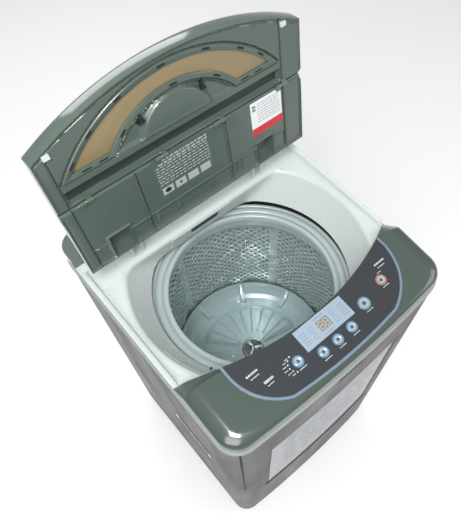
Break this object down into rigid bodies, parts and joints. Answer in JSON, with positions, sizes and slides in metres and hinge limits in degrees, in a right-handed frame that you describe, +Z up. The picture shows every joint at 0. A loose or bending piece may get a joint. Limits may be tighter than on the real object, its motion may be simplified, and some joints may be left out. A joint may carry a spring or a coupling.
{
  "type": "top load washing machine",
  "caption": "Top load washing machine with sheet steel cabinet, front console, folding lid with arched window, hanging tub, spinning drum and pulsator.",
  "frame": {"origin": "centre of the footprint at floor level", "axes": "+Z up, +Y to the back, +X to the right seen from the front"},
  "size_m": [0.544, 0.566, 1.2983],
  "materials": {
    "cabinet_paint": "metallic grey enamel",
    "galvanised": "zinc coated sheet",
    "base_plastic": "black polypropylene",
    "rubber": "moulded rubber",
    "steel": "drawn steel",
    "sage": "glossy sage grey ABS",
    "white": "cool white ABS",
    "overlay_black": "gloss black film",
    "trim_blue": "pale blue grey",
    "display_silver": "silver blue film",
    "display_dark": "smoked display window",
    "ring_blue": "blue ring",
    "ring_copper": "copper ring",
    "button": "pale button cap",
    "circuit_board": "green laminate",
    "inner_plastic": "natural polypropylene",
    "tub_green": "pale grey-green polypropylene",
    "pulsator_green": "grey-green polypropylene",
    "drum_steel": "embossed stainless steel",
    "chrome": "bright chrome",
    "cast_aluminium": "die cast",
    "copper_winding": "enamelled copper wire",
    "belt_rubber": "ribbed belt",
    "hose_rubber": "corrugated hose",
    "grille_dark": "dark grille",
    "amber": "amber translucent window"
  },
  "bodies": {
    "root": {"cabinet_shell": "cabinet_paint", "rear_panel": "galvanised", "case_screws": "steel", "base_frame": "base_plastic", "fixed_feet": "rubber", "foot_lock_nut": "steel", "side_grips": "sage", "suspension_brackets": "galvanised", "suspension_rods": "steel", "suspension_springs": "steel", "top_frame": "white", "rear_deck_cover": "sage", "console_cover": "sage", "control_overlay": "overlay_black", "overlay_trim": "trim_blue", "display_plate": "display_silver", "display_window": "display_dark", "button_rings": "ring_blue", "power_ring": "ring_copper", "control_board": "circuit_board", "board_housing": "inner_plastic", "inlet_box": "inner_plastic", "inlet_grille": "grille_dark", "inlet_valve": "inner_plastic", "inlet_hose": "hose_rubber", "pressure_switch": "inner_plastic", "lid_switch": "grille_dark", "cord_gland": "rubber", "drain_spigot": "hose_rubber", "drain_hose": "hose_rubber", "lid_hinge_pins": "steel"},
    "levelling_foot": {"levelling_foot": "rubber"},
    "tub": {"outer_tub": "inner_plastic", "tub_cover": "tub_green", "suspension_cups": "inner_plastic", "clutch_housing": "cast_aluminium", "drive_bracket": "galvanised", "motor_frame": "galvanised", "motor_stator": "copper_winding", "drain_valve": "inner_plastic", "drive_belt": "belt_rubber"},
    "basket": {"basket_drum": "drum_steel", "balance_ring": "tub_green", "basket_hub": "tub_green"},
    "pulsator": {"pulsator": "pulsator_green", "pulsator_cap": "chrome", "wash_shaft": "steel"},
    "drive_pulley": {"drive_pulley": "cast_aluminium"},
    "motor_rotor": {"motor_rotor": "steel"},
    "lid_rear": {"lid_rear_panel": "sage", "fold_pins": "steel"},
    "lid_front": {"lid_front_panel": "sage", "lid_window": "amber", "handle_cup": "sage"},
    "button_program": {"button_program": "button"},
    "button_wash": {"button_wash": "button"},
    "button_rinse": {"button_rinse": "button"},
    "button_spin": {"button_spin": "button"},
    "button_start": {"button_start": "button"},
    "button_power": {"button_power": "button"}
  },
  "joints": [
    {"name": "tub_suspension", "type": "slide", "parent": "root", "child": "tub", "axis": [0, 0, 1], "range_m": [-0.012, 0.008], "stiffness_N_per_m": 14000, "springref_m": 0.01995, "deforming": ["suspension_springs", "drain_hose"]},
    {"name": "basket_spin", "type": "hinge", "parent": "tub", "child": "basket", "pos_m": [0, 0, 0.4], "axis": [0, 0, 1], "continuous": true},
    {"name": "drive_pulley_spin", "type": "hinge", "parent": "tub", "child": "drive_pulley", "pos_m": [0, 0, 0.194], "axis": [0, 0, 1], "continuous": true},
    {"name": "pulsator_spin", "type": "hinge", "parent": "tub", "child": "pulsator", "pos_m": [0, 0, 0.44], "axis": [0, 0, 1], "continuous": true},
    {"name": "motor_spin", "type": "hinge", "parent": "tub", "child": "motor_rotor", "pos_m": [0.165, 0, 0.26], "axis": [0, 0, 1], "continuous": true},
    {"name": "lid_hinge", "type": "hinge", "parent": "root", "child": "lid_rear", "pos_m": [0, 0.17, 0.958], "axis": [-1, 0, 0], "range_deg": [-98, 0]},
    {"name": "lid_fold", "type": "hinge", "parent": "lid_rear", "child": "lid_front", "pos_m": [0, 0.15702, 1.13149], "axis": [1, 0, 0], "range_deg": [0, 140]},
    {"name": "foot_height", "type": "slide", "parent": "root", "child": "levelling_foot", "axis": [0, 0, 1], "range_m": [-0.008, 0]},
    {"name": "press_program", "type": "slide", "parent": "root", "child": "button_program", "axis": [0, -0.0993, 0.9951], "range_m": [-0.0012, 0], "stiffness_N_per_m": 300, "springref_m": 0.0004},
    {"name": "press_wash", "type": "slide", "parent": "root", "child": "button_wash", "axis": [0, -0.0993, 0.9951], "range_m": [-0.0012, 0], "stiffness_N_per_m": 300, "springref_m": 0.0004},
    {"name": "press_rinse", "type": "slide", "parent": "root", "child": "button_rinse", "axis": [0, -0.0993, 0.9951], "range_m": [-0.0012, 0], "stiffness_N_per_m": 300, "springref_m": 0.0004},
    {"name": "press_spin", "type": "slide", "parent": "root", "child": "button_spin", "axis": [0, -0.0993, 0.9951], "range_m": [-0.0012, 0], "stiffness_N_per_m": 300, "springref_m": 0.0004},
    {"name": "press_start", "type": "slide", "parent": "root", "child": "button_start", "axis": [0, -0.0993, 0.9951], "range_m": [-0.0012, 0], "stiffness_N_per_m": 300, "springref_m": 0.0004},
    {"name": "press_power", "type": "slide", "parent": "root", "child": "button_power", "axis": [0, -0.0993, 0.9951], "range_m": [-0.0012, 0], "stiffness_N_per_m": 300, "springref_m": 0.0004}
  ],
  "couplings": [
    {"joint": "pulsator_spin", "follows": "drive_pulley_spin", "ratio": 0.19},
    {"joint": "motor_spin", "follows": "drive_pulley_spin", "ratio": 4.32}
  ]
}
